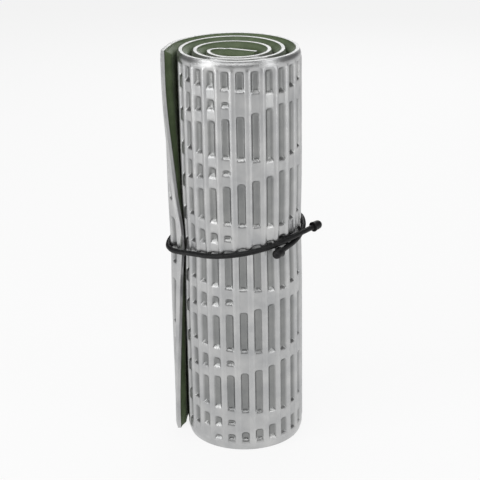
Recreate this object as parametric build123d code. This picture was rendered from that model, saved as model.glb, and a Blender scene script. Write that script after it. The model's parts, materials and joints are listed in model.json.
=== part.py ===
from build123d import *
import os
from math import acos, asin, atan2, cos, degrees, hypot, radians, sin, tan

# Rolled closed-cell foam sleeping pad, stood on end and held by a stiff rubber-covered wire tie.
# Frame: +Z up along the roll, +X to the right, +Y to the back, origin on the base inside the roll.
# The sheet is wound clockwise towards the middle, seen from above, with its film outside.

# ---- driving dimensions, mm ----
PAD_WIDTH = 510.0          # width of the flat pad, which is the height of the roll
PAD_THICKNESS = 15.0       # foam and film together
FILM_THICKNESS = 0.3       # aluminised film on the outer face
FILM_MARGIN = 0.5          # film stops this far short of the two long edges
ROLL_RIGHT = 73.1          # outer face of the first turn on the +X side
WIND_GAP = 1.4             # air between one turn and the next
FRONT_RADIUS = 73.95       # outer radius of the first front half turn
FULL_HALF_TURNS = 5        # half turns between the outer back half turn and the inner bend
INNER_BEND_RADIUS = 18.5   # outer radius of the last tight bend
INNER_END_RUN = 42.0       # straight end of the sheet across the hollow

FLAP_HINGE_ANGLE = 146.0   # where the free outer end starts to lift, degrees round the back half turn
FLAP_END_ANGLE = 186.0     # where the free outer end stops
FLAP_GAP = 0.4             # slit between the flap and the rest of the sheet

TIE_RADIUS = 3.3           # rubber sheath
WIRE_RADIUS = 1.1          # steel core
WIRE_CLEARANCE = 0.05      # between the core and its bore
TIE_CLEARANCE = 0.3        # between the tie and the film
TIE_HEIGHT = 272.8         # height of the tie where it passes x = 0
TIE_SLOPE = 0.162          # rise of the tie per unit of +X
LEFT_HINGE_ANGLE = 139.0   # where the left arm bends, round the back half turn
RIGHT_HINGE_ANGLE = 40.0   # where the right arm bends, round the back half turn
LEFT_TAIL_ANGLE = 315.0    # where the left strand leaves the roll
RIGHT_TAIL_ANGLE = -35.0   # where the right strand leaves the roll
CROSSING_DROP = 8.4        # how far the right strand dips to pass under the left one
BEND_GAP = 0.3             # between the ball at a bend and the tube that starts after it
CORNER_REACH = 18.0        # how far in front of x axis the tie turns off the flap's free edge

LEFT_TAIL_LENGTH = 62.0    # from its bend to the tip
LEFT_TAIL_RISE = 0.07      # rise per unit of length
RIGHT_TAIL_LENGTH = 44.0   # from its bend to the tip
RIGHT_TAIL_RISE = -0.10    # fall per unit of length
CAP_RADIUS = 5.9           # moulded end cap
CAP_LENGTH = 14.5          # with its round tip
CAP_RIM = 0.5              # rim at the open end, proud of the cap
CAP_RIM_LENGTH = 1.6

# ---- worked out from them ----
PITCH = PAD_THICKNESS + WIND_GAP
FRONT_X = ROLL_RIGHT - FRONT_RADIUS
BACK_X = FRONT_X - PITCH / 2
BACK_RADIUS = FRONT_RADIUS + PITCH / 2
TIE_OFFSET = TIE_RADIUS + TIE_CLEARANCE
TIE_FRONT = FRONT_RADIUS + TIE_OFFSET
TIE_BACK = BACK_RADIUS + TIE_OFFSET


def on_circle(centre_x, radius, angle):
    """A point of the plan, round a centre on the X axis."""
    return (centre_x + radius * cos(radians(angle)), radius * sin(radians(angle)))


# ---- the sheet ----
def half_turns():
    """Centre, outer radius, start angle and swept angle of each arc, from +X at the outside inwards."""
    arcs = []
    for count in range(FULL_HALF_TURNS):
        radius = FRONT_RADIUS - count * PITCH / 2
        if count % 2 == 0:
            arcs.append((FRONT_X, radius, 360.0, -180.0))
        else:
            arcs.append((BACK_X, radius, 180.0, -180.0))
    return arcs


def band(arcs, outer, inner, end_run=0.0):
    """Plan face between two depths below the outer face, along arcs and a straight end run."""
    with BuildSketch() as sketch:
        with BuildLine():
            outer_ends = []
            inner_ends = []
            for centre_x, radius, start, sweep_angle in arcs:
                for depth, ends in ((outer, outer_ends), (inner, inner_ends)):
                    CenterArc((centre_x, 0), radius - depth, start, sweep_angle)
                    ends.append(on_circle(centre_x, radius - depth, start))
                    ends.append(on_circle(centre_x, radius - depth, start + sweep_angle))
            if end_run:
                heading = arcs[-1][2] + arcs[-1][3]
                run = (end_run * sin(radians(heading)), -end_run * cos(radians(heading)))
                for ends in (outer_ends, inner_ends):
                    last = (ends[-1][0] + run[0], ends[-1][1] + run[1])
                    Line(ends[-1], last)
                    ends.append(last)
            Line(outer_ends[0], inner_ends[0])
            Line(outer_ends[-1], inner_ends[-1])
        make_face()
    return sketch.sketch


def sheet_part(arcs, outer, inner, margin, end_run=0.0):
    face = band(arcs, outer, inner, end_run)
    return extrude(face.moved(Location((0, 0, margin))), PAD_WIDTH - 2 * margin)


def inner_bend():
    """The last bend, turned so that the middle of the straight end passes over the origin."""
    last_half_turn = half_turns()[-1]
    left_x = last_half_turn[0] - last_half_turn[1]
    centre_x = left_x + INNER_BEND_RADIUS
    middle_radius = INNER_BEND_RADIUS - PAD_THICKNESS / 2
    heading = degrees(acos(middle_radius / abs(centre_x)))
    return (centre_x, INNER_BEND_RADIUS, 180.0, heading - 180.0)


slit = degrees(FLAP_GAP / BACK_RADIUS)
flap_arcs = [(BACK_X, BACK_RADIUS, FLAP_END_ANGLE, FLAP_HINGE_ANGLE + slit / 2 - FLAP_END_ANGLE)]
mat_start = FLAP_HINGE_ANGLE - slit / 2
mat_arcs = [(BACK_X, BACK_RADIUS, mat_start, -mat_start)] + half_turns()

foam_mat = sheet_part(mat_arcs, FILM_THICKNESS, PAD_THICKNESS, 0.0)
film_mat = sheet_part(mat_arcs, 0.0, FILM_THICKNESS, FILM_MARGIN)
foam_inner_end = sheet_part([inner_bend()], FILM_THICKNESS, PAD_THICKNESS, 0.0, INNER_END_RUN)
film_inner_end = sheet_part([inner_bend()], 0.0, FILM_THICKNESS, FILM_MARGIN, INNER_END_RUN)
foam_flap = sheet_part(flap_arcs, FILM_THICKNESS, PAD_THICKNESS, 0.0)
film_flap = sheet_part(flap_arcs, 0.0, FILM_THICKNESS, FILM_MARGIN)


# ---- the tie ----
def raised(point, drop=0.0):
    """A plan point at the tie's height there."""
    return Vector(point[0], point[1], TIE_HEIGHT + TIE_SLOPE * point[0] - drop)


def hug(centre_x, radius, start, end, steps):
    """Corners of a path that stays round the roll, without its two ends."""
    step = (end - start) / steps
    corner_radius = radius / cos(radians(step / 2))
    return [on_circle(centre_x, corner_radius, start + step * (index + 0.5)) for index in range(steps)]


def corner_radii(points):
    """The largest tangent arc at each corner that leaves a little of both runs."""
    radii = []
    for before, here, after in zip(points, points[1:], points[2:]):
        turn = (here - before).get_angle(after - here)
        shorter = min((here - before).length, (after - here).length)
        radii.append(0.45 * shorter / tan(radians(turn) / 2))
    return radii


def tube(points, radius):
    """Round bar along straight runs joined by tangent arcs."""
    if len(points) > 2:
        path = FilletPolyline(*points, radius=corner_radii(points))
    else:
        path = Line(*points)
    section = Plane(origin=path @ 0, z_dir=path % 0) * Circle(radius)
    return sweep(section, path=path)


def strand(points, ball=None):
    """Sheath and core of one stretch of the tie, with a ball where the next stretch bends from it."""
    sheath = tube(points, TIE_RADIUS)
    for centre in ball or []:
        sheath = sheath + Location(centre) * Sphere(TIE_RADIUS)
    sheath = sheath - tube(points, WIRE_RADIUS + WIRE_CLEARANCE)
    core = tube(points, WIRE_RADIUS)
    return sheath, core


def tangent_angle(point, centre_x, radius):
    """Where a line from a point in front and to the left touches the front circle."""
    offset = (point[0] - centre_x, point[1])
    return degrees(atan2(offset[1], offset[0]) % radians(360) + acos(radius / hypot(*offset)))


bend_angle = degrees((TIE_RADIUS + BEND_GAP) / TIE_BACK)
left_hinge = raised(on_circle(BACK_X, TIE_BACK, LEFT_HINGE_ANGLE))
right_hinge = raised(on_circle(BACK_X, TIE_BACK, RIGHT_HINGE_ANGLE))

# Back stretch, from the left bend to the right bend.
back_corners = hug(BACK_X, TIE_BACK, LEFT_HINGE_ANGLE, RIGHT_HINGE_ANGLE, 5)
back_points = [left_hinge] + [raised(corner) for corner in back_corners] + [right_hinge]
tie_back_sheath, tie_back_wire = strand(back_points, [left_hinge, right_hinge])

# Left arm, over the flap, off its free edge and across the front.
left_start = LEFT_HINGE_ANGLE + bend_angle
flap_corner = (BACK_X - TIE_BACK, -CORNER_REACH)
touch_angle = tangent_angle(flap_corner, FRONT_X, TIE_FRONT)
left_plan = [on_circle(BACK_X, TIE_BACK, left_start)]
left_plan += hug(BACK_X, TIE_BACK, left_start, 180.0, 2)
left_plan += [flap_corner]
left_plan += hug(FRONT_X, TIE_FRONT, touch_angle, LEFT_TAIL_ANGLE, 5)
left_plan += [on_circle(FRONT_X, TIE_FRONT, LEFT_TAIL_ANGLE)]
left_points = [raised(point) for point in left_plan]
left_bend = left_points[-1]
tie_left_sheath, tie_left_wire = strand(left_points, [left_bend])

# Right arm, round the +X side and down under the left strand.
right_start = RIGHT_HINGE_ANGLE - bend_angle
right_plan = [on_circle(BACK_X, TIE_BACK, right_start)]
right_plan += hug(BACK_X, TIE_BACK, right_start, 0.0, 2)
right_plan += hug(FRONT_X, TIE_FRONT, 0.0, RIGHT_TAIL_ANGLE, 2)
right_plan += [on_circle(FRONT_X, TIE_FRONT, RIGHT_TAIL_ANGLE)]
right_drops = [0.0, 0.0, 0.0, 0.35 * CROSSING_DROP, 0.8 * CROSSING_DROP, CROSSING_DROP]
right_points = [raised(point, drop) for point, drop in zip(right_plan, right_drops)]
right_bend = right_points[-1]
tie_right_sheath, tie_right_wire = strand(right_points, [right_bend])


def tail(bend, heading, rise, length):
    """Straight tail from a bend, with its core and a moulded cap over its end."""
    direction = Vector(heading[0], heading[1], rise).normalized()
    start = bend + direction * (TIE_RADIUS + BEND_GAP)
    cap_start = bend + direction * (length - CAP_LENGTH)
    strand_end = cap_start + direction * (CAP_LENGTH - CAP_RADIUS)
    sheath, core = strand([start, strand_end])
    along = Plane(origin=cap_start, z_dir=direction)
    barrel = CAP_LENGTH - CAP_RADIUS
    cap = along * extrude(Circle(CAP_RADIUS), barrel)
    cap = cap + along * extrude(Circle(CAP_RADIUS + CAP_RIM), CAP_RIM_LENGTH)
    cap = cap + Location(cap_start + direction * barrel) * Sphere(CAP_RADIUS)
    cap = cap - along * extrude(Circle(TIE_RADIUS), barrel)
    return sheath, core, cap


left_heading = (-sin(radians(LEFT_TAIL_ANGLE)), cos(radians(LEFT_TAIL_ANGLE)))
right_heading = (sin(radians(RIGHT_TAIL_ANGLE)), -cos(radians(RIGHT_TAIL_ANGLE)))
left_tail = tail(left_bend, left_heading, LEFT_TAIL_RISE, LEFT_TAIL_LENGTH)
right_tail = tail(right_bend, right_heading, RIGHT_TAIL_RISE, RIGHT_TAIL_LENGTH)

nodes = {
    "foam_mat": foam_mat,
    "foam_inner_end": foam_inner_end,
    "foam_flap": foam_flap,
    "film_mat": film_mat,
    "film_inner_end": film_inner_end,
    "film_flap": film_flap,
    "tie_back_sheath": tie_back_sheath,
    "tie_back_wire": tie_back_wire,
    "tie_left_arm_sheath": tie_left_sheath,
    "tie_left_arm_wire": tie_left_wire,
    "tie_right_arm_sheath": tie_right_sheath,
    "tie_right_arm_wire": tie_right_wire,
    "tie_left_tail_sheath": left_tail[0],
    "tie_left_tail_wire": left_tail[1],
    "tie_left_end_cap": left_tail[2],
    "tie_right_tail_sheath": right_tail[0],
    "tie_right_tail_wire": right_tail[1],
    "tie_right_end_cap": right_tail[2],
}

os.makedirs("parts", exist_ok=True)
for name, shape in nodes.items():
    export_step(shape, f"parts/{name}.step")

flap_hinge = on_circle(BACK_X, BACK_RADIUS, FLAP_HINGE_ANGLE)
print("flap hinge", [round(value, 3) for value in flap_hinge])
for name, point in (("left hinge", left_hinge), ("right hinge", right_hinge),
                    ("left bend", left_bend), ("right bend", right_bend)):
    print(name, [round(value, 3) for value in tuple(point)])
print("corner radii", [round(value, 1) for value in corner_radii(left_points) + corner_radii(right_points)])
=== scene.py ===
import json
from math import cos, degrees, pi, radians, sin

import bmesh
import bpy
import numpy as np
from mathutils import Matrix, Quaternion, Vector


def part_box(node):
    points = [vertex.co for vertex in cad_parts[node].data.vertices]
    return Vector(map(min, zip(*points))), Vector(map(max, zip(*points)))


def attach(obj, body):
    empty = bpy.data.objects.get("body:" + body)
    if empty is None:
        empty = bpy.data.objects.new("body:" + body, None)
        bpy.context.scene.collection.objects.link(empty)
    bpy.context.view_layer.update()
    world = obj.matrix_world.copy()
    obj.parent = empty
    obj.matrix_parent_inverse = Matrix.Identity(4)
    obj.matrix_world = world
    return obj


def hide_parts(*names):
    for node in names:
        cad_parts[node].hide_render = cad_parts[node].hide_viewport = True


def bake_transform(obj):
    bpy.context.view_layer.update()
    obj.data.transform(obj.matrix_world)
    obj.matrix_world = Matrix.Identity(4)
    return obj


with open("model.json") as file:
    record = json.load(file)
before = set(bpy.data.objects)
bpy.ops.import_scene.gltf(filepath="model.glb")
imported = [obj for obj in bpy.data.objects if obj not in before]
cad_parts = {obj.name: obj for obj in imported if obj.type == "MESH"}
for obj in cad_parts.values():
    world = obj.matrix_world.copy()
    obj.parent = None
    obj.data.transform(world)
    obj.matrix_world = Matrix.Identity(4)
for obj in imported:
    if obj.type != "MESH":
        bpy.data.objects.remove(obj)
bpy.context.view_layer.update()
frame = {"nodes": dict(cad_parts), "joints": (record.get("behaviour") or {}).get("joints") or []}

MM = 0.001
joints = {joint["name"]: joint for joint in frame["joints"]}

# ---- sizes taken from the frame ----
film_low, film_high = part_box("film_mat")
foam_low, foam_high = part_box("foam_mat")
PAD_WIDTH = foam_high.z - foam_low.z
FRONT_RADIUS = -film_low.y
RIGHT_X = film_high.x
BACK_RADIUS = film_high.y
HALF_PITCH = BACK_RADIUS - FRONT_RADIUS
FRONT_X = RIGHT_X - FRONT_RADIUS
BACK_X = RIGHT_X - BACK_RADIUS

# ---- sizes of the looks ----
THICKNESS = 15.0 * MM
FILM = 0.3 * MM
GREEN_INSET = 0.6 * MM        # the green face lies this far inside the sheet's inner side
HALF_TURNS = 5
INNER_BEND_RADIUS = 18.5 * MM
INNER_END_RUN = 42.0 * MM
SEAM_ANGLE = 126.0            # where the flap piece takes over from the mat piece
COLUMN_PITCH = 18.1 * MM
POCKET_HALF_WIDTH = 6.1 * MM
POCKET_CORNER = 4.3 * MM
POCKET_WALL = 3.0 * MM
POCKET_RAMP = 7.0 * MM        # the gentle slope at the lower end of a pocket
POCKET_DEPTH = 3.3 * MM
NO_POCKET = 1.0               # a distance that is outside every pocket
FLOOR_WAVE = 0.3 * MM         # across the floor of a pocket
RIB_CROWN = 0.8 * MM
RIB_FOOT_OUT = 0.4 * MM       # where a rib's side starts and ends, from the pocket's edge
RIB_FOOT_IN = 1.0 * MM
BORDER_BLEND = 2.0 * MM
BAND_DEPTH = 0.7 * MM
BAND_HEIGHT = 9.6 * MM
PATTERN_PERIOD = 83.9 * MM
CROSSING_HEIGHT = 461.0 * MM  # where the two families of bands cross, at the highest crossing
CROSSING_COLUMN = 3.0         # columns to the right of the front
RISE_A = 1.73 * MM            # per column to the left
RISE_B = -3.45 * MM
BORDER = 10.6 * MM
MIN_POCKET = 6.5 * MM
PINCH_REACH = 9.0 * MM        # how far in from a rim the sheet is thinned
PINCH_DROP = 2.0 * MM
RIM_INNER = 7.2 * MM          # depth of the inner side at a rim, before GREEN_INSET comes off
GREEN_RIB = 0.35 * MM
GREEN_CROSS_RIB = 0.2 * MM
GREEN_CROSS_PITCH = 5.2 * MM
# painted shade: how much the film's colour is darkened on the rims, which face the top lamp
RIM_PAINTED_SHADE = 0.7
TIE_HEIGHT = 272.8 * MM       # of the tie's middle line, where x is 0
TIE_SLOPE = 0.162             # rise per length to the right
BULGE = 1.3 * MM
BULGE_BASE = 0.1 * MM
TIE_REACH = 46.0 * MM         # how far from the tie the roll is drawn in
TURN_DROP = 1.6 * MM          # of the top edge, per turn inwards
WOBBLE = 0.3 * MM
WOBBLE_LENGTH = 37.0 * MM
EMBOSSED_RUN = 95.0 * MM      # the pockets fade out this far past the second arc
HELD_ABOVE = 5.0 * MM         # the tie holds the flap this far above and below its height
HELD_BELOW = 8.0 * MM
QUICK_REACH = 60.0 * MM       # the first part of the flap's opening is reached this far away
QUICK_ABOVE = 0.2
SLOW_ABOVE = 0.8
QUICK_BELOW = 0.12
SLOW_BELOW = 0.65
OPEN_HEIGHT = PAD_WIDTH * 0.93
FLAP_SQUEEZE = 5.5 * MM       # how much the tie thins the flap's edge


def smooth(value, low, high):
    """0 below low, 1 above high and an even curve between."""
    t = np.clip((value - low) / (high - low), 0.0, 1.0)
    return t * t * (3.0 - 2.0 * t)


# ---- the spiral ----
def spiral_arcs():
    """Centre x, outer radius, start angle and swept angle of each arc, from the seam inwards."""
    arcs = [(BACK_X, BACK_RADIUS, SEAM_ANGLE, -SEAM_ANGLE)]
    for count in range(HALF_TURNS):
        radius = FRONT_RADIUS - count * HALF_PITCH
        if count % 2 == 0:
            arcs.append((FRONT_X, radius, 360.0, -180.0))
        else:
            arcs.append((BACK_X, radius, 180.0, -180.0))
    last = arcs[-1]
    bend_x = last[0] - last[1] + INNER_BEND_RADIUS
    middle_radius = INNER_BEND_RADIUS - THICKNESS / 2
    heading = degrees(np.arccos(middle_radius / abs(bend_x)))
    arcs.append((bend_x, INNER_BEND_RADIUS, 180.0, heading - 180.0))
    return arcs


ARCS = spiral_arcs()
ARC_LENGTHS = [radius * abs(radians(swept)) for _, radius, _, swept in ARCS]
ARC_STARTS = np.concatenate([[0.0], np.cumsum(ARC_LENGTHS)])
MAT_LENGTH = ARC_STARTS[-1] + INNER_END_RUN
FRONT_MIDDLE = ARC_STARTS[1] + FRONT_RADIUS * pi / 2


def spiral(s):
    """Plan point, outward normal and turn number of the outer face at each length s."""
    point = np.zeros((len(s), 2))
    normal = np.zeros((len(s), 2))
    turn = np.zeros(len(s))
    for index, (centre_x, radius, start, _) in enumerate(ARCS):
        inside = (s >= ARC_STARTS[index]) & (s <= ARC_STARTS[index + 1] + 1e-9)
        angle = np.radians(start) - (s[inside] - ARC_STARTS[index]) / radius
        normal[inside] = np.stack([np.cos(angle), np.sin(angle)], 1)
        point[inside] = np.array([centre_x, 0.0]) + radius * normal[inside]
        turn[inside] = max(index - 1, 0) / 2 + (s[inside] - ARC_STARTS[index]) / ARC_LENGTHS[index] / 2
    beyond = s > ARC_STARTS[-1]
    centre_x, radius, start, swept = ARCS[-1]
    angle = radians(start + swept)
    end_normal = np.array([cos(angle), sin(angle)])
    run = np.array([sin(angle), -cos(angle)])
    end_point = np.array([centre_x, 0.0]) + radius * end_normal
    point[beyond] = end_point + (s[beyond] - ARC_STARTS[-1])[:, None] * run
    normal[beyond] = end_normal
    turn[beyond] = HALF_TURNS / 2
    return point, normal, turn


# ---- the free outer end ----
def run_lengths(line):
    """Length run along a line of points, at each of them."""
    return np.concatenate([[0], np.cumsum(np.linalg.norm(np.diff(line, axis=0), axis=1))])


def resample(line, lengths, wanted):
    """Points of a line at the wanted lengths along it."""
    return np.stack([np.interp(wanted, lengths, line[:, axis]) for axis in range(line.shape[1])], 1)


def curve_through(points, steps):
    """A Catmull-Rom curve through the given points, with so many steps between each two."""
    points = np.array(points, float)
    padded = np.vstack([2 * points[0] - points[1], points, 2 * points[-1] - points[-2]])
    found = []
    for a, b, c, d in zip(padded, padded[1:], padded[2:], padded[3:]):
        for t in np.linspace(0, 1, steps, endpoint=False):
            square = (2 * a - 5 * b + 4 * c - d) * t ** 2
            cube = (3 * b - a - 3 * c + d) * t ** 3
            found.append(0.5 * (2 * b + (c - a) * t + square + cube))
    found.append(points[-1])
    return np.array(found)


def even_curve(points, count):
    """Evenly spaced plan points along a smooth curve through the given ones, and its length."""
    line = curve_through(points, 24)
    lengths = run_lengths(line)
    return resample(line, lengths, np.linspace(0, lengths[-1], count)), lengths[-1]


def back_point(angle):
    """Plan point on the outer face of the roll's back half."""
    return (BACK_X + BACK_RADIUS * cos(radians(angle)), BACK_RADIUS * sin(radians(angle)))


# the flap's outer face where the tie holds it, and where it has sprung away
PRESSED = [back_point(angle) for angle in (126, 137, 148, 159, 170, 180)]
PRESSED += [(-88.0 * MM, -12.5 * MM), (-78.5 * MM, -24.0 * MM)]
SPRUNG = [back_point(angle) for angle in (126, 137, 148, 159)]
SPRUNG += [(-89.6 * MM, 17.0 * MM), (-93.4 * MM, 2.0 * MM), (-95.5 * MM, -9.0 * MM)]


def flap_curve(u, z):
    """Plan points of the outer face at share u from the seam to the free edge, at height z."""
    count = 400
    pressed, pressed_length = even_curve(PRESSED, count)
    sprung, sprung_length = even_curve(SPRUNG, count)
    above = QUICK_ABOVE * smooth(z, TIE_HEIGHT + HELD_ABOVE, TIE_HEIGHT + QUICK_REACH)
    above = above + SLOW_ABOVE * smooth(z, TIE_HEIGHT + HELD_ABOVE, OPEN_HEIGHT)
    below = QUICK_BELOW * smooth(TIE_HEIGHT - z, HELD_BELOW, QUICK_REACH)
    below = below + SLOW_BELOW * smooth(TIE_HEIGHT - z, HELD_BELOW, TIE_HEIGHT)
    free = np.where(z > TIE_HEIGHT, above, below)
    grid = np.linspace(0, 1, count)
    p = np.stack([np.interp(u, grid, pressed[:, axis]) for axis in (0, 1)], -1)
    q = np.stack([np.interp(u, grid, sprung[:, axis]) for axis in (0, 1)], -1)
    return p * (1 - free[..., None]) + q * free[..., None], (pressed_length + sprung_length) / 2


FLAP_LENGTH = flap_curve(np.array([0.0]), np.array([0.0]))[1]


# ---- the embossing ----
def pocket_depth(s, z):
    """How deep the outer face is pressed in at length s (from the seam inwards) and height z."""
    columns_left = (s - FRONT_MIDDLE) / COLUMN_PITCH
    column = np.round(columns_left)
    across = (columns_left - column) * COLUMN_PITCH
    steps = column + CROSSING_COLUMN
    band_a = CROSSING_HEIGHT + RISE_A * steps
    band_b = CROSSING_HEIGHT + RISE_B * steps
    half = PATTERN_PERIOD / 2
    middle = (band_a + band_b) / 2
    apart = np.mod(band_a - band_b + half, PATTERN_PERIOD) - half
    middle = np.mod(middle, PATTERN_PERIOD)
    # near a crossing the two bands run together into one
    gap = np.abs(apart) - BAND_HEIGHT
    merged = gap < MIN_POCKET
    local = np.mod(z - middle + half, PATTERN_PERIOD) - half
    short_half = np.where(merged, 0.0, gap / 2)
    solid_half = (np.abs(apart) + BAND_HEIGHT) / 2
    long_half = half - solid_half

    def capsule(along, half_height):
        """Distance from the edge of an upright pocket with round corners, negative inside it."""
        corner = np.minimum(POCKET_CORNER, np.maximum(half_height, 1e-6))
        qx = np.abs(across) - (POCKET_HALF_WIDTH - corner)
        qz = np.abs(along) - (half_height - corner)
        outside = np.hypot(np.maximum(qx, 0), np.maximum(qz, 0))
        inside = np.minimum(np.maximum(qx, qz), 0)
        return outside + inside - corner

    # the long pocket, cut off by the border at the top and bottom
    low = z - local - np.where(local > 0, 0, PATTERN_PERIOD) + solid_half
    high = low + 2 * long_half
    low_cut = np.maximum(low, BORDER)
    high_cut = np.minimum(high, PAD_WIDTH - BORDER)
    long_sdf = capsule(z - (low_cut + high_cut) / 2, (high_cut - low_cut) / 2)
    long_sdf = np.where(high_cut - low_cut > MIN_POCKET, long_sdf, NO_POCKET)
    # the short pocket between the two bands
    centre = z - local
    low_short = np.maximum(centre - short_half, BORDER)
    high_short = np.minimum(centre + short_half, PAD_WIDTH - BORDER)
    short_sdf = capsule(z - (low_short + high_short) / 2, (high_short - low_short) / 2)
    short_sdf = np.where((high_short - low_short > MIN_POCKET) & ~merged, short_sdf, NO_POCKET)
    sdf = np.minimum(long_sdf, short_sdf)
    # the lower end of a pocket slopes out gently and catches the light
    low_end = np.where(long_sdf < short_sdf, low_cut, low_short)
    slope = smooth(z - low_end, 0.0, POCKET_RAMP)
    depth = POCKET_DEPTH * np.minimum(smooth(-sdf, 0.0, POCKET_WALL), slope)
    between_ribs = smooth(POCKET_HALF_WIDTH - np.abs(across), -RIB_FOOT_OUT, RIB_FOOT_IN)
    from_bottom = smooth(z, BORDER - BORDER_BLEND, BORDER + BORDER_BLEND)
    from_top = smooth(PAD_WIDTH - z, BORDER - BORDER_BLEND, BORDER + BORDER_BLEND)
    inner_zone = from_bottom * from_top
    depth = np.maximum(depth, BAND_DEPTH * between_ribs * inner_zone)
    on_floor = smooth(-sdf, POCKET_WALL, POCKET_WALL * 1.4)
    floor_wave = FLOOR_WAVE * np.cos(across / POCKET_HALF_WIDTH * pi) * on_floor
    rib_crown = RIB_CROWN * smooth(np.abs(across), POCKET_HALF_WIDTH, COLUMN_PITCH / 2)
    return depth + floor_wave - rib_crown * inner_zone


def pinch(z):
    """How near the long edges are: 0 on the full sheet, 1 at the rim."""
    near = np.minimum(z, PAD_WIDTH - z)
    return 1.0 - smooth(near, 0.0, PINCH_REACH)


def face_depths(s, z, over, emboss, end_near):
    """Depth of the outer and inner faces below the smooth outer face."""
    rim = np.maximum(pinch(z), end_near)
    outer = PINCH_DROP * rim ** 2 + pocket_depth(s, z) * emboss * (1.0 - rim) + over
    ribs = GREEN_RIB * np.cos(2 * pi * s / (COLUMN_PITCH / 3))
    ribs = ribs + GREEN_CROSS_RIB * np.cos(2 * pi * z / GREEN_CROSS_PITCH)
    inner = THICKNESS - GREEN_INSET + ribs * (1.0 - rim) - (THICKNESS - RIM_INNER) * rim ** 1.6
    return outer, inner


def body_bulge(z, x):
    """How far the roll stands out, which is least where the tie goes round it."""
    off = (z - TIE_HEIGHT - TIE_SLOPE * x) / TIE_REACH
    return BULGE * (1.0 - np.exp(-off ** 2)) - BULGE_BASE


# ---- grids ----
HALF_COLUMN = [2.2, 3.6, 4.4, 5.2, 5.9, 6.7, 7.7]
LEFT_SAMPLES = [-COLUMN_PITCH / MM / 2] + [-sample for sample in reversed(HALF_COLUMN)]
COLUMN_SAMPLES = np.array(LEFT_SAMPLES + [0.0] + HALF_COLUMN) * MM
STATION_GAP = 0.4 * MM        # stations nearer than this to an end are left out


def column_stations(start, stop):
    """Lengths along the sheet that follow the pockets' walls."""
    first = int(np.floor((start - FRONT_MIDDLE) / COLUMN_PITCH)) - 1
    last = int(np.ceil((stop - FRONT_MIDDLE) / COLUMN_PITCH)) + 1
    found = np.concatenate([FRONT_MIDDLE + n * COLUMN_PITCH + COLUMN_SAMPLES for n in range(first, last)])
    found = found[(found > start + STATION_GAP) & (found < stop - STATION_GAP)]
    return np.concatenate([[start], found, [stop]])


RIM_REACH = np.array([4.2, 3.4, 2.4, 1.4, 0.6]) * MM
END_EDGE = np.array([0.0, 0.6, 1.4, 2.4, 3.6, 5.0, 6.8, 9.0]) * MM


def heights():
    """Heights of the grid, closer at the pinched edges, and how far each row lies in over the rim."""
    edge = np.array([0.0, 0.5, 1.2, 2.2, 3.4, 4.8, 6.4, 8.2]) * MM
    middle = np.linspace(10.0 * MM, PAD_WIDTH - 10.0 * MM, 330)
    flat = np.zeros(len(RIM_REACH))
    z = np.concatenate([flat, edge, middle, PAD_WIDTH - edge[::-1], flat + PAD_WIDTH])
    over = np.concatenate([RIM_REACH, np.zeros(len(edge) * 2 + len(middle)), RIM_REACH[::-1]])
    return z, over


def closed_sheet(name, outer, inner, material, pressed=None):
    """A closed mesh between two grids of points that match row for row."""
    rows, columns = outer.shape[:2]
    count = rows * columns
    points = np.concatenate([outer.reshape(-1, 3), inner.reshape(-1, 3)])
    index = np.arange(count).reshape(rows, columns)
    a, b, c, d = index[:-1, :-1], index[1:, :-1], index[1:, 1:], index[:-1, 1:]
    front = np.stack([a, b, c, d], -1).reshape(-1, 4)
    back = np.stack([a, d, c, b], -1).reshape(-1, 4) + count
    border = np.concatenate([index[:-1, 0], index[-1, :-1], index[:0:-1, -1], index[0, :0:-1]])
    after = np.roll(border, -1)
    side = np.stack([after, border, border + count, after + count], -1)
    faces = np.concatenate([front, back, side])
    mesh = bpy.data.meshes.new(name)
    mesh.vertices.add(len(points))
    mesh.vertices.foreach_set("co", points.astype(np.float32).ravel())
    mesh.loops.add(faces.size)
    mesh.loops.foreach_set("vertex_index", faces.astype(np.int32).ravel())
    mesh.polygons.add(len(faces))
    mesh.polygons.foreach_set("loop_start", np.arange(0, faces.size, 4, dtype=np.int32))
    mesh.polygons.foreach_set("use_smooth", np.ones(len(faces), bool))
    mesh.update(calc_edges=True)
    mesh.validate()
    obj = bpy.data.objects.new(name, mesh)
    bpy.context.scene.collection.objects.link(obj)
    mesh.materials.append(material)
    # the pressed attribute carries the painted shade of the pocket floors and rims into the film's colour
    if pressed is not None:
        values = np.tile(pressed.ravel(), 2).astype(np.float32)
        mesh.attributes.new("pressed", "FLOAT", "POINT").data.foreach_set("value", values)
    return obj


def painted_shade_share(s, z, over):
    """How much painted shade darkens each point of the film, from 0 on the ribs to 1 on the pocket floors;
    rims lie between.
    """
    grid_s, grid_z = np.meshgrid(s, z, indexing="ij")
    # painted shade: the film's colour gets darker the deeper a pocket floor lies, standing in for the shade
    # in the recess, and the rims are set darker too
    depth = np.clip(pocket_depth(grid_s, grid_z) / POCKET_DEPTH, 0.0, 1.0)
    return np.maximum(depth, RIM_PAINTED_SHADE * (over[None, :] > 0))


def layer_points(point, normal, outer, inner, grid_z, over, end_over, inwards):
    """Film face, film back and green face, each set in a little further where the film wraps a rim."""
    if point.ndim == 2:
        point = point[:, None, :]
        normal = normal[:, None, :]
    on_rim = (over[None, :] > 0) * np.where(grid_z > PAD_WIDTH / 2, -1.0, 1.0)
    on_end = (end_over[:, None] > 0) * inwards
    along = np.stack([normal[..., 1], -normal[..., 0]], -1)
    layers = []
    for depth, set_in in ((outer, 0.0), (outer + FILM, FILM), (inner, 3 * FILM)):
        plan = point - normal * depth[..., None] + along * (on_end * set_in)[..., None]
        height = grid_z + on_rim * set_in
        layers.append(np.concatenate([plan, height[..., None]], -1))
    return layers


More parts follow.
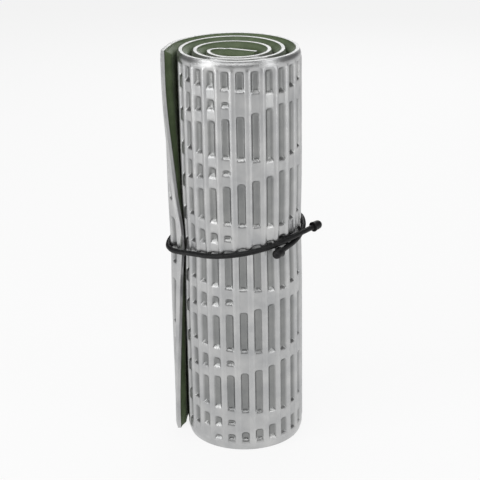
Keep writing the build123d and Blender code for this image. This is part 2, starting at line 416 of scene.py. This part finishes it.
def mat_layers():
    """The three layers of the mat as far as the seam with the flap: film face, film back, green face."""
    fine_end = ARC_STARTS[2] + EMBOSSED_RUN
    fine = column_stations(0.0, fine_end)
    coarse = np.linspace(fine_end, MAT_LENGTH - 12 * MM, 150)[1:]
    end = MAT_LENGTH - END_EDGE[::-1]
    s = np.concatenate([fine, coarse, end, np.full(len(RIM_REACH), MAT_LENGTH)])
    end_over = np.concatenate([np.zeros(len(s) - len(RIM_REACH)), RIM_REACH[::-1]])
    z, over = heights()
    point, normal, turn = spiral(s)
    emboss = 1.0 - smooth(s, fine_end - 30 * MM, fine_end - 10 * MM)
    grid_s, grid_z = np.meshgrid(s, z, indexing="ij")
    end_near = 1.0 - smooth(MAT_LENGTH - grid_s, 0.0, PINCH_REACH)
    reach = np.maximum(over[None, :], end_over[:, None])
    outer, inner = face_depths(grid_s, grid_z, reach, emboss[:, None], end_near)
    outermost = 1.0 - smooth(turn, 0.45, 1.1)
    lift = body_bulge(grid_z, point[:, 0][:, None]) * outermost[:, None]
    drop = TURN_DROP * np.maximum(turn - 0.4, 0.0)[:, None] * (grid_z / PAD_WIDTH)
    wobble = WOBBLE * np.sin(grid_s / WOBBLE_LENGTH) * smooth(grid_z, PAD_WIDTH * 0.8, PAD_WIDTH)
    height = grid_z - drop + wobble
    layers = layer_points(point, normal, outer - lift, inner - lift, height, over, end_over, -1.0)
    return layers, painted_shade_share(s, z, over)


def flap_layers():
    """The same layers of the free outer end, from its edge to the seam."""
    columns = column_stations(-FLAP_LENGTH + 11 * MM, 0.0)
    s = np.concatenate([np.full(len(RIM_REACH), -FLAP_LENGTH), -FLAP_LENGTH + END_EDGE, columns])
    end_over = np.concatenate([RIM_REACH, np.zeros(len(s) - len(RIM_REACH))])
    z, over = heights()
    grid_s, grid_z = np.meshgrid(s, z, indexing="ij")
    share = -grid_s / FLAP_LENGTH
    plan, _ = flap_curve(share, grid_z)
    step = 0.004
    ahead, _ = flap_curve(np.clip(share + step, 0, 1), grid_z)
    behind, _ = flap_curve(np.clip(share - step, 0, 1), grid_z)
    tangent = behind - ahead
    tangent /= np.linalg.norm(tangent, axis=-1, keepdims=True)
    normal = np.stack([-tangent[..., 1], tangent[..., 0]], -1)
    seam_normal = np.array([cos(radians(SEAM_ANGLE)), sin(radians(SEAM_ANGLE))])
    settle = smooth(share, 0.0, 0.12)[..., None]
    normal = seam_normal * (1 - settle) + normal * settle
    normal /= np.linalg.norm(normal, axis=-1, keepdims=True)
    end_near = 1.0 - smooth(FLAP_LENGTH + grid_s, 0.0, PINCH_REACH)
    reach = np.maximum(over[None, :], end_over[:, None])
    outer, inner = face_depths(grid_s, grid_z, reach, 1.0, end_near)
    lift = body_bulge(grid_z, plan[..., 0])
    squeeze = smooth(share, 0.55, 0.95) * np.exp(-((grid_z - TIE_HEIGHT + 9 * MM) / (30 * MM)) ** 2)
    inner = inner - squeeze * FLAP_SQUEEZE
    layers = layer_points(plan, normal, outer - lift, inner - lift, grid_z, over, end_over, 1.0)
    return layers, painted_shade_share(s, z, over)


# ---- materials ----
def new_material(name):
    material = bpy.data.materials.new(name)
    material.use_nodes = True
    nodes = material.node_tree.nodes
    return material, nodes, material.node_tree.links, nodes["Principled BSDF"]


def ramp(nodes, low, high, low_colour, high_colour):
    node = nodes.new("ShaderNodeValToRGB")
    node.color_ramp.elements[0].position = low
    node.color_ramp.elements[1].position = high
    node.color_ramp.elements[0].color = (*low_colour, 1)
    node.color_ramp.elements[1].color = (*high_colour, 1)
    return node


def noise(nodes, links, coords, scale, detail=3.0, roughness=0.55):
    node = nodes.new("ShaderNodeTexNoise")
    node.inputs["Scale"].default_value = scale
    node.inputs["Detail"].default_value = detail
    node.inputs["Roughness"].default_value = roughness
    links.new(coords, node.inputs["Vector"])
    return node


def film_material():
    """Aluminised film with fine creases, scuffs and slightly uneven gloss; painted shade darkens its colour
    in the pocket floors and on the rims.
    """
    material, nodes, links, shader = new_material("aluminised_film")
    shader.inputs["Metallic"].default_value = 1.0
    coords = nodes.new("ShaderNodeTexCoord").outputs["Object"]
    cloud = noise(nodes, links, coords, 38.0, 4.0)
    tint = ramp(nodes, 0.3, 0.75, (0.43, 0.435, 0.44), (0.58, 0.58, 0.575))
    links.new(cloud.outputs["Fac"], tint.inputs["Fac"])
    # painted shade: the pressed attribute darkens the base colour in the pocket floors and on the rims
    painted_shade_in = nodes.new("ShaderNodeAttribute")
    painted_shade_in.attribute_name = "pressed"
    shade = ramp(nodes, 0.12, 0.95, (1.0, 1.0, 1.0), (0.52, 0.525, 0.52))
    links.new(painted_shade_in.outputs["Fac"], shade.inputs["Fac"])
    darker = nodes.new("ShaderNodeMix")
    darker.data_type = "RGBA"
    darker.blend_type = "MULTIPLY"
    darker.inputs["Factor"].default_value = 1.0
    links.new(tint.outputs["Color"], darker.inputs["A"])
    links.new(shade.outputs["Color"], darker.inputs["B"])
    links.new(darker.outputs["Result"], shader.inputs["Base Color"])
    patch = noise(nodes, links, coords, 120.0, 5.0)
    gloss = nodes.new("ShaderNodeMapRange")
    gloss.inputs["To Min"].default_value = 0.24
    gloss.inputs["To Max"].default_value = 0.44
    links.new(patch.outputs["Fac"], gloss.inputs["Value"])
    links.new(gloss.outputs["Result"], shader.inputs["Roughness"])
    stretch = nodes.new("ShaderNodeMapping")
    stretch.inputs["Scale"].default_value = (1.0, 1.0, 0.25)
    links.new(coords, stretch.inputs["Vector"])
    crease = noise(nodes, links, stretch.outputs["Vector"], 420.0, 4.0, 0.6)
    fine = noise(nodes, links, coords, 900.0, 2.0)
    both = nodes.new("ShaderNodeMath")
    both.operation = "ADD"
    links.new(crease.outputs["Fac"], both.inputs[0])
    links.new(fine.outputs["Fac"], both.inputs[1])
    bump = nodes.new("ShaderNodeBump")
    bump.inputs["Strength"].default_value = 0.35
    bump.inputs["Distance"].default_value = 0.0004
    links.new(both.outputs["Value"], bump.inputs["Height"])
    links.new(bump.outputs["Normal"], shader.inputs["Normal"])
    return material


def foam_material():
    """Sage green closed-cell foam with a fine pressed grain and paler bruises."""
    material, nodes, links, shader = new_material("green_foam")
    coords = nodes.new("ShaderNodeTexCoord").outputs["Object"]
    cloud = noise(nodes, links, coords, 60.0, 5.0)
    tint = ramp(nodes, 0.3, 0.75, (0.050, 0.078, 0.028), (0.095, 0.135, 0.058))
    links.new(cloud.outputs["Fac"], tint.inputs["Fac"])
    links.new(tint.outputs["Color"], shader.inputs["Base Color"])
    shader.inputs["Roughness"].default_value = 0.52
    shader.inputs["Sheen Weight"].default_value = 0.15
    cells = nodes.new("ShaderNodeTexVoronoi")
    cells.inputs["Scale"].default_value = 620.0
    links.new(coords, cells.inputs["Vector"])
    grain = noise(nodes, links, coords, 1400.0, 2.0)
    both = nodes.new("ShaderNodeMath")
    both.operation = "ADD"
    links.new(cells.outputs["Distance"], both.inputs[0])
    links.new(grain.outputs["Fac"], both.inputs[1])
    bump = nodes.new("ShaderNodeBump")
    bump.inputs["Strength"].default_value = 0.5
    bump.inputs["Distance"].default_value = 0.0005
    links.new(both.outputs["Value"], bump.inputs["Height"])
    links.new(bump.outputs["Normal"], shader.inputs["Normal"])
    return material


def rubber_material():
    """Near-black matt rubber with a fine grain."""
    material, nodes, links, shader = new_material("black_rubber")
    coords = nodes.new("ShaderNodeTexCoord").outputs["Object"]
    cloud = noise(nodes, links, coords, 150.0, 4.0)
    tint = ramp(nodes, 0.35, 0.75, (0.004, 0.004, 0.0045), (0.010, 0.010, 0.011))
    links.new(cloud.outputs["Fac"], tint.inputs["Fac"])
    links.new(tint.outputs["Color"], shader.inputs["Base Color"])
    gloss = nodes.new("ShaderNodeMapRange")
    gloss.inputs["To Min"].default_value = 0.38
    gloss.inputs["To Max"].default_value = 0.55
    shader.inputs["Specular IOR Level"].default_value = 0.28
    links.new(cloud.outputs["Fac"], gloss.inputs["Value"])
    links.new(gloss.outputs["Result"], shader.inputs["Roughness"])
    grain = noise(nodes, links, coords, 2200.0, 2.0)
    bump = nodes.new("ShaderNodeBump")
    bump.inputs["Strength"].default_value = 0.3
    bump.inputs["Distance"].default_value = 0.0002
    links.new(grain.outputs["Fac"], bump.inputs["Height"])
    links.new(bump.outputs["Normal"], shader.inputs["Normal"])
    return material


def steel_material():
    """Bare drawn wire, the core of the tie."""
    material, nodes, links, shader = new_material("drawn_steel")
    shader.inputs["Metallic"].default_value = 1.0
    coords = nodes.new("ShaderNodeTexCoord").outputs["Object"]
    cloud = noise(nodes, links, coords, 300.0, 3.0)
    tint = ramp(nodes, 0.3, 0.7, (0.42, 0.42, 0.43), (0.58, 0.58, 0.59))
    links.new(cloud.outputs["Fac"], tint.inputs["Fac"])
    links.new(tint.outputs["Color"], shader.inputs["Base Color"])
    shader.inputs["Roughness"].default_value = 0.35
    return material


FILM_LOOK = film_material()
FOAM_LOOK = foam_material()
RUBBER_LOOK = rubber_material()
STEEL_LOOK = steel_material()

# ---- camera ----
AIM = Vector((-0.0037, 0.0, 0.261))
CAMERA_DISTANCE = 1.765
CAMERA_DOWN = 21.2
CAMERA_LENS = 104.3
CAMERA_ROLL = -1.06
camera_data = bpy.data.cameras.new("camera")
camera_data.lens = CAMERA_LENS
camera_data.sensor_width = 36.0
camera = bpy.data.objects.new("camera", camera_data)
bpy.context.scene.collection.objects.link(camera)
bpy.context.scene.camera = camera
towards = Vector((0.0, cos(radians(CAMERA_DOWN)), -sin(radians(CAMERA_DOWN))))
camera.location = AIM - towards * CAMERA_DISTANCE
camera.rotation_mode = "QUATERNION"
look = towards.to_track_quat("-Z", "Y")
camera.rotation_quaternion = look @ Quaternion((0, 0, 1), radians(CAMERA_ROLL))

# ---- the sheet ----
# pressed holds the painted shade of the film's pocket floors and rims
(film_face, film_back, green_face), pressed = mat_layers()
mat_film = closed_sheet("mat_film", film_face, film_back, FILM_LOOK, pressed)
mat_foam = closed_sheet("mat_foam", film_back, green_face, FOAM_LOOK)
(film_face, film_back, green_face), pressed = flap_layers()
flap_film = closed_sheet("flap_film", film_face, film_back, FILM_LOOK, pressed)
flap_foam = closed_sheet("flap_foam", film_back, green_face, FOAM_LOOK)
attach(mat_film, "roll")
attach(mat_foam, "roll")
hinge = np.array(joints["flap_lift"]["pos_m"])
along_flap = np.array([-hinge[1], hinge[0] - BACK_X, 0.0])
along_flap /= np.linalg.norm(along_flap)
for piece, nodes in ((flap_film, ["film_flap"]), (flap_foam, ["foam_flap"])):
    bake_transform(piece)
    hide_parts(*nodes)
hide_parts("film_mat", "film_inner_end")
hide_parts("foam_mat", "foam_inner_end")

# ---- the tie ----
TIE_RADIUS = 3.3 * MM
TIE_CLEARANCE = 0.3 * MM
TIE_FRONT = FRONT_RADIUS + TIE_RADIUS + TIE_CLEARANCE
TIE_BACK = BACK_RADIUS + TIE_RADIUS + TIE_CLEARANCE
BEND_HALF = 9.0 * MM          # half the length of a piece that bends at a joint
LINE_SPACING = 0.25 * MM
TWIST_PITCH = 2.0 * MM
TWIST_DEPTH = 0.1 * MM
LEFT_TAIL_ANGLE = 315.0       # where each strand leaves the roll
RIGHT_TAIL_ANGLE = -35.0
LEFT_TAIL_RISE = 0.07
RIGHT_TAIL_RISE = -0.10
LEFT_TAIL = 62.0 * MM
RIGHT_TAIL = 44.0 * MM
CAP_LENGTH = 14.5 * MM
CAP_RADIUS = 5.9 * MM
CAP_RIM = 0.5 * MM
CAP_TAPER = 0.25 * MM


def tie_point(centre_x, radius, angle, drop=0.0):
    """A point of the tie's middle line at an angle round one half of the roll."""
    x = centre_x + radius * cos(radians(angle))
    return (x, radius * sin(radians(angle)), TIE_HEIGHT + TIE_SLOPE * x - drop)


def smooth_line(points):
    """Evenly spaced points in space along a smooth curve through the given ones."""
    line = curve_through(points, 40)
    lengths = run_lengths(line)
    return resample(line, lengths, np.linspace(0, lengths[-1], max(int(lengths[-1] / LINE_SPACING), 8)))


def ring_faces(rows, sides):
    """Faces between each ring of points and the next."""
    faces = []
    for row in range(rows - 1):
        for k in range(sides):
            n = (k + 1) % sides
            faces.append((row * sides + k, row * sides + n, (row + 1) * sides + n, (row + 1) * sides + k))
    return faces


def rubber_object(name, mesh):
    """A smooth rubber piece made from a finished mesh."""
    mesh.polygons.foreach_set("use_smooth", np.ones(len(mesh.polygons), bool))
    mesh.update()
    mesh.materials.append(RUBBER_LOOK)
    obj = bpy.data.objects.new(name, mesh)
    bpy.context.scene.collection.objects.link(obj)
    return obj


def tube_piece(name, line, first_length=0.0, sides=28):
    """A rubber tube with a fine twist along a line of points, closed at both ends."""
    tangent = np.gradient(line, axis=0)
    tangent /= np.linalg.norm(tangent, axis=1, keepdims=True)
    up = np.array([0.0, 0.0, 1.0])
    side = np.cross(tangent, up)
    side /= np.linalg.norm(side, axis=1, keepdims=True)
    over = np.cross(side, tangent)
    lengths = first_length + run_lengths(line)
    angle = np.arange(sides) * 2 * pi / sides
    twist = np.cos(2 * pi * lengths[:, None] / TWIST_PITCH + 2 * angle[None, :])
    radius = TIE_RADIUS - TWIST_DEPTH + TWIST_DEPTH * twist
    ring = side[:, None, :] * np.cos(angle)[None, :, None] + over[:, None, :] * np.sin(angle)[None, :, None]
    points = line[:, None, :] + ring * radius[..., None]
    count = len(line)
    verts = np.concatenate([points.reshape(-1, 3), line[:1], line[-1:]])
    faces = ring_faces(count, sides)
    for k in range(sides):
        n = (k + 1) % sides
        faces.append((count * sides, n, k))
        faces.append((count * sides + 1, (count - 1) * sides + k, (count - 1) * sides + n))
    mesh = bpy.data.meshes.new(name)
    mesh.from_pydata(verts.tolist(), [], faces)
    return rubber_object(name, mesh)


def tail_heading(x, y, rise):
    """Unit direction of a tail, from parts rounded to four places."""
    heading = np.round([x, y, rise], 4)
    return heading / np.linalg.norm(heading)


def cut(line, start, stop):
    """The part of a line between two lengths along it."""
    lengths = run_lengths(line)
    stop = min(stop, lengths[-1])
    wanted = np.linspace(start, stop, max(int((stop - start) / (0.3 * MM)), 6))
    return resample(line, lengths, wanted)


def length_at(line, point):
    """Length along a line of its nearest place to a point."""
    lengths = run_lengths(line)
    return lengths[np.argmin(np.linalg.norm(line - np.array(point), axis=1))]


left_bend = np.array(joints["tie_left_tail_bend"]["pos_m"])
right_bend = np.array(joints["tie_right_tail_bend"]["pos_m"])
left_corner_z = TIE_HEIGHT + TIE_SLOPE * (BACK_X - TIE_BACK)
LEFT_ROUTE = [tie_point(BACK_X, TIE_BACK, angle) for angle in (90, 107, 124, 139, 153, 167, 180)]
LEFT_ROUTE += [(-92.6 * MM, -13.5 * MM, left_corner_z), (-84.5 * MM, -27.2 * MM, left_corner_z + 0.8 * MM)]
FRONT_ANGLES = (222, 236, 250, 264, 278, 292, 305, 315)
LEFT_ROUTE += [tie_point(FRONT_X, TIE_FRONT + 0.05 * MM, angle) for angle in FRONT_ANGLES]
leaving = radians(LEFT_TAIL_ANGLE)
LEFT_HEADING = tail_heading(-sin(leaving), cos(leaving), LEFT_TAIL_RISE)
LEFT_ROUTE += [tuple(left_bend + LEFT_HEADING * reach * LEFT_TAIL) for reach in (0.3, 0.6, 0.88)]
leaving = radians(RIGHT_TAIL_ANGLE)
RIGHT_HEADING = tail_heading(sin(leaving), -cos(leaving), RIGHT_TAIL_RISE)
RIGHT_ROUTE = [tie_point(BACK_X, TIE_BACK, angle) for angle in (90, 73, 56, 40, 25, 10)]
RIGHT_ROUTE += [tie_point(FRONT_X, TIE_FRONT, -7, 2.3 * MM), tie_point(FRONT_X, TIE_FRONT, -22, 6.0 * MM)]
RIGHT_ROUTE += [tuple(right_bend + RIGHT_HEADING * reach * RIGHT_TAIL) for reach in (0.0, 0.4, 0.82)]


def end_cap(name, tip_start, heading):
    """A moulded cap with a rim, a slightly tapered barrel and a round tip."""
    rim_end = 1.9 * MM
    profile = [(0.0, 0.0), (TIE_RADIUS, 0.0), (CAP_RADIUS * 0.98, 0.0), (CAP_RADIUS + CAP_RIM, 0.35 * MM),
               (CAP_RADIUS + CAP_RIM, 1.4 * MM), (CAP_RADIUS + 0.1 * MM, rim_end)]
    barrel = CAP_LENGTH - CAP_RADIUS
    profile += [(CAP_RADIUS - CAP_TAPER * t, rim_end + (barrel - rim_end) * t) for t in (0.2, 0.5, 0.8, 1.0)]
    dome = CAP_RADIUS - CAP_TAPER
    profile += [(dome * cos(a), barrel + CAP_RADIUS * sin(a)) for a in np.linspace(0.15, pi / 2, 9)]
    axis = Vector(heading)
    turn = axis.to_track_quat("Z", "Y").to_matrix()
    sides = 40
    verts = []
    for radius, along in profile:
        for k in range(sides):
            a = 2 * pi * k / sides
            local = turn @ Vector((max(radius, 1e-6) * cos(a), max(radius, 1e-6) * sin(a), along))
            verts.append(tuple(Vector(tip_start) + local))
    mesh = bpy.data.meshes.new(name)
    mesh.from_pydata(verts, [], ring_faces(len(profile), sides))
    work = bmesh.new()
    work.from_mesh(mesh)
    bmesh.ops.remove_doubles(work, verts=work.verts, dist=2e-6)
    bmesh.ops.recalc_face_normals(work, faces=work.faces)
    work.to_mesh(mesh)
    work.free()
    return rubber_object(name, mesh)


def build_strand(side, route, hinge_joint, bend_joint, heading, tail_length):
    """One half of the tie, from the middle of the back to its capped end."""
    line = smooth_line(route)
    arm = f"tie_{side}_arm"
    tail = f"tie_{side}_tail"
    hinge_at = length_at(line, joints[hinge_joint]["pos_m"])
    bend_at = length_at(line, joints[bend_joint]["pos_m"])
    total = length_at(line, line[-1])
    back = tube_piece(f"tie_back_{side}", cut(line, 0.0, hinge_at - BEND_HALF))
    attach(back, "roll")
    bends = ((f"tie_{side}_arm_bend", hinge_at, "roll", arm), (f"tie_{side}_tail_bend", bend_at, arm, tail))
    for name, at, a, b in bends:
        piece_line = cut(line, at - BEND_HALF, at + BEND_HALF)
        piece = tube_piece(name, piece_line, at - BEND_HALF)
        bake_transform(piece)
    arm_line = cut(line, hinge_at + BEND_HALF, bend_at - BEND_HALF)
    arm_piece = tube_piece(f"tie_{side}_strand", arm_line, hinge_at + BEND_HALF)
    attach(arm_piece, arm)
    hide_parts(f"{arm}_sheath")
    tail_line = cut(line, bend_at + BEND_HALF, total)
    tail_piece = tube_piece(f"tie_{side}_tail_strand", tail_line, bend_at + BEND_HALF)
    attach(tail_piece, tail)
    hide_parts(f"{tail}_sheath")
    bend = np.array(joints[bend_joint]["pos_m"])
    cap = end_cap(f"tie_{side}_cap", bend + heading * (tail_length - CAP_LENGTH), heading)
    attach(cap, tail)
    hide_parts(f"tie_{side}_end_cap")
    return back


left_back = build_strand("left", LEFT_ROUTE, "tie_left_open", "tie_left_tail_bend", LEFT_HEADING, LEFT_TAIL)
build_strand("right", RIGHT_ROUTE, "tie_right_open", "tie_right_tail_bend", RIGHT_HEADING, RIGHT_TAIL)
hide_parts("tie_back_sheath")
for name, node in frame["nodes"].items():
    if name.endswith("_wire"):
        node.data.materials.clear()
        node.data.materials.append(STEEL_LOOK)

# ---- floor, lamps and world ----
FLOOR_HALF = 9.0
FLOOR_GAP = 0.3 * MM
FLOOR_GLOW = 0.86             # share of the floor that looks plain white to the camera
WORLD_STRENGTH = 0.16
floor_mesh = bpy.data.meshes.new("floor")
floor_corners = [(-1, -1), (1, -1), (1, 1), (-1, 1)]
floor_mesh.from_pydata([(x * FLOOR_HALF, y * FLOOR_HALF, 0) for x, y in floor_corners], [], [(0, 1, 2, 3)])
floor = bpy.data.objects.new("floor", floor_mesh)
floor.location.z = foam_low.z - FLOOR_GAP
bpy.context.scene.collection.objects.link(floor)
floor_look, nodes, links, shader = new_material("pale_floor")
shader.inputs["Base Color"].default_value = (0.86, 0.86, 0.86, 1)
shader.inputs["Roughness"].default_value = 0.9
glow = nodes.new("ShaderNodeEmission")
glow.inputs["Color"].default_value = (1, 1, 1, 1)
glow.inputs["Strength"].default_value = 1.0
path = nodes.new("ShaderNodeLightPath")
rays = nodes.new("ShaderNodeMath")
rays.operation = "MAXIMUM"
links.new(path.outputs["Is Camera Ray"], rays.inputs[0])
links.new(path.outputs["Is Glossy Ray"], rays.inputs[1])
rays_all = nodes.new("ShaderNodeMath")
rays_all.operation = "MAXIMUM"
links.new(rays.outputs[0], rays_all.inputs[0])
links.new(path.outputs["Is Transmission Ray"], rays_all.inputs[1])
share = nodes.new("ShaderNodeMath")
share.operation = "MULTIPLY"
share.inputs[1].default_value = FLOOR_GLOW
links.new(rays_all.outputs[0], share.inputs[0])
mixer = nodes.new("ShaderNodeMixShader")
links.new(share.outputs[0], mixer.inputs["Fac"])
links.new(shader.outputs["BSDF"], mixer.inputs[1])
links.new(glow.outputs["Emission"], mixer.inputs[2])
links.new(mixer.outputs["Shader"], nodes["Material Output"].inputs["Surface"])
floor_mesh.materials.append(floor_look)

world = bpy.data.worlds.new("studio")
world.use_nodes = True
world.node_tree.nodes["Background"].inputs["Color"].default_value = (1, 1, 1, 1)
world.node_tree.nodes["Background"].inputs["Strength"].default_value = WORLD_STRENGTH
bpy.context.scene.world = world


def area_lamp(name, place, size, power):
    """A soft lamp that faces the roll; its size is in metres and its power in watts."""
    data = bpy.data.lights.new(name, "AREA")
    data.shape = "RECTANGLE"
    data.size = size[0]
    data.size_y = size[1]
    data.energy = power
    lamp = bpy.data.objects.new(name, data)
    lamp.location = place
    lamp.rotation_mode = "QUATERNION"
    lamp.rotation_quaternion = (AIM - Vector(place)).to_track_quat("-Z", "Y")
    bpy.context.scene.collection.objects.link(lamp)


area_lamp("lamp_left", (-1.9, -1.0, 0.9), (0.95, 1.8), 16)
area_lamp("lamp_right", (1.9, -1.2, 0.9), (0.8, 1.8), 11)
area_lamp("lamp_front", (-0.3, -1.9, 2.2), (3.0, 1.2), 26)
area_lamp("lamp_top", (0.0, 0.3, 2.3), (2.2, 2.2), 20)
area_lamp("lamp_back", (0.3, 2.0, 1.2), (1.2, 1.2), 10)

bpy.context.scene.view_settings.view_transform = "Standard"
